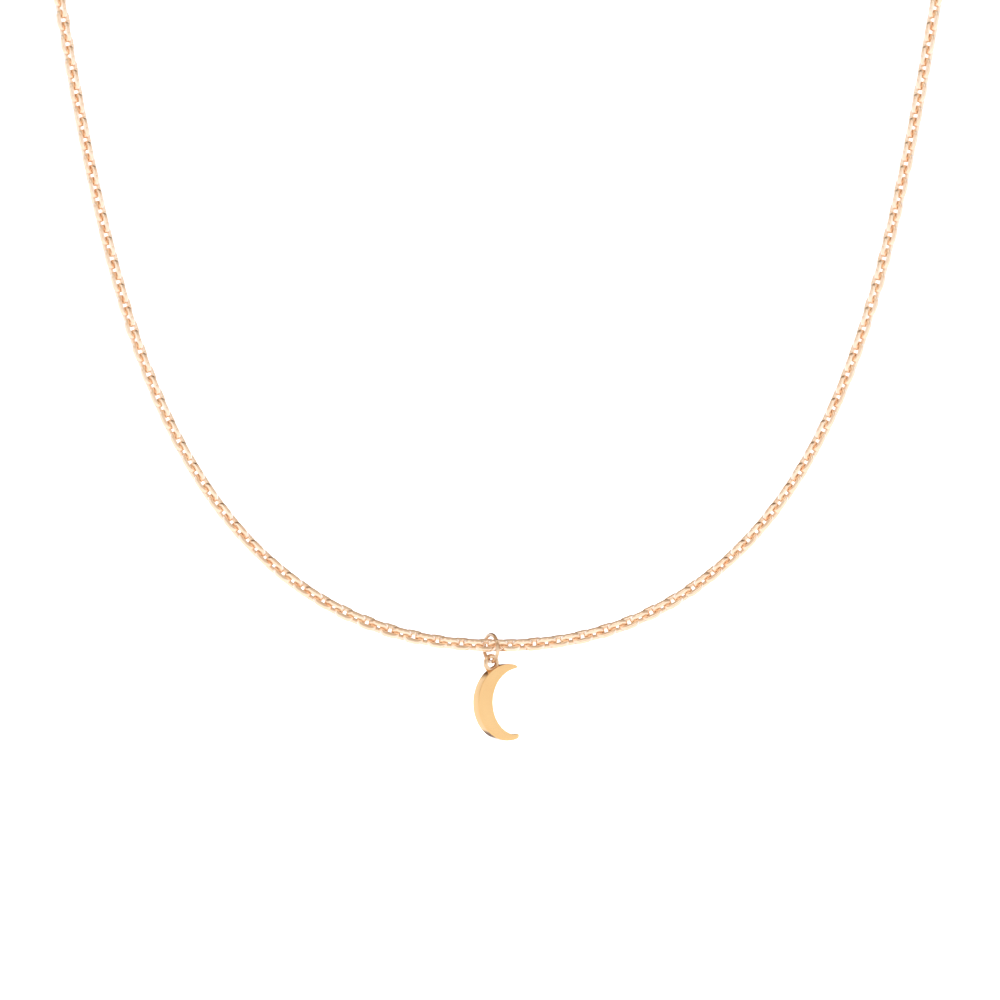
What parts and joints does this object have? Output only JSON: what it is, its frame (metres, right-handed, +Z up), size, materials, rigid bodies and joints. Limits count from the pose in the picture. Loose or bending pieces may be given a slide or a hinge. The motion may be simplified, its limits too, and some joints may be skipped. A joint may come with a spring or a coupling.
{
  "type": "pendant necklace",
  "caption": "Fine cable chain necklace with a small solid crescent moon pendant on a jump ring, closed at the nape by a spring ring clasp.",
  "frame": {"origin": "middle of the neck opening, level with the place where the front drape leaves the neck", "axes": "+Z up, +X to the viewer's right, +Y away from the viewer towards the nape"},
  "size_m": [0.1128, 0.075, 0.1371],
  "materials": {
    "moon_gold": "mirror polished, rose gold plated",
    "ring_gold": "polished, rose gold plated",
    "chain_gold": "polished and diamond cut, rose gold plated",
    "clasp_gold": "polished, rose gold plated",
    "spring_steel": "bright drawn wire"
  },
  "bodies": {
    "neck_chain": {"neck_chain_left_1": "chain_gold", "neck_chain_right_1": "chain_gold", "neck_chain_left_2": "chain_gold", "neck_chain_right_2": "chain_gold", "neck_chain_left_3": "chain_gold", "neck_chain_right_3": "chain_gold", "neck_chain_left_4": "chain_gold", "neck_chain_right_4": "chain_gold", "clasp_body": "clasp_gold", "clasp_spring": "spring_steel", "clasp_eyelet": "clasp_gold", "clasp_jump_ring": "clasp_gold", "end_ring": "clasp_gold"},
    "front_chain_6": {"front_chain_left_6": "chain_gold", "front_chain_right_6": "chain_gold"},
    "front_chain_5": {"front_chain_left_5": "chain_gold", "front_chain_right_5": "chain_gold"},
    "front_chain_4": {"front_chain_left_4": "chain_gold", "front_chain_right_4": "chain_gold"},
    "front_chain_3": {"front_chain_left_3": "chain_gold", "front_chain_right_3": "chain_gold"},
    "front_chain_2": {"front_chain_left_2": "chain_gold", "front_chain_right_2": "chain_gold"},
    "front_chain_1": {"front_chain_left_1": "chain_gold", "front_chain_right_1": "chain_gold"},
    "bottom_chain": {"bottom_chain_left": "chain_gold", "bottom_chain_right": "chain_gold"},
    "moon_jump_ring": {"moon_jump_ring": "ring_gold"},
    "moon": {"crescent_moon": "moon_gold", "moon_loop": "ring_gold"},
    "clasp_bolt": {"clasp_bolt": "clasp_gold"}
  },
  "joints": [
    {"name": "front_chain_6_swing", "type": "hinge", "parent": "neck_chain", "child": "front_chain_6", "pos_m": [0, -0.03584, -0.00216], "axis": [1, 0, 0], "range_deg": [-10, 10]},
    {"name": "front_chain_5_swing", "type": "hinge", "parent": "front_chain_6", "child": "front_chain_5", "pos_m": [0, -0.03584, -0.01655], "axis": [1, 0, 0], "range_deg": [-10, 10]},
    {"name": "front_chain_4_swing", "type": "hinge", "parent": "front_chain_5", "child": "front_chain_4", "pos_m": [0, -0.03584, -0.03084], "axis": [1, 0, 0], "range_deg": [-10, 10]},
    {"name": "front_chain_3_swing", "type": "hinge", "parent": "front_chain_4", "child": "front_chain_3", "pos_m": [0, -0.03584, -0.04491], "axis": [1, 0, 0], "range_deg": [-10, 10]},
    {"name": "front_chain_2_swing", "type": "hinge", "parent": "front_chain_3", "child": "front_chain_2", "pos_m": [0, -0.03584, -0.05835], "axis": [1, 0, 0], "range_deg": [-10, 10]},
    {"name": "front_chain_1_swing", "type": "hinge", "parent": "front_chain_2", "child": "front_chain_1", "pos_m": [0, -0.03584, -0.07017], "axis": [1, 0, 0], "range_deg": [-10, 10]},
    {"name": "bottom_chain_swing", "type": "hinge", "parent": "front_chain_1", "child": "bottom_chain", "pos_m": [0, -0.03584, -0.07863], "axis": [1, 0, 0], "range_deg": [-10, 10]},
    {"name": "jump_ring_swing", "type": "hinge", "parent": "bottom_chain", "child": "moon_jump_ring", "pos_m": [-0.00073, -0.03584, -0.08222], "axis": [1, 0, 0], "range_deg": [-35, 35]},
    {"name": "moon_swing", "type": "hinge", "parent": "moon_jump_ring", "child": "moon", "pos_m": [-0.00083, -0.03584, -0.08411], "axis": [0.6157, -0.788, 0], "range_deg": [-40, 40]},
    {"name": "clasp_bolt_slide", "type": "hinge", "parent": "neck_chain", "child": "clasp_bolt", "pos_m": [0.00114, 0.03584, 0.03998], "axis": [0, -0.9397, -0.342], "range_deg": [0, 45], "stiffness_Nm_per_rad": 0.002, "springref_deg": -28.65, "deforming": ["clasp_spring"]}
  ]
}
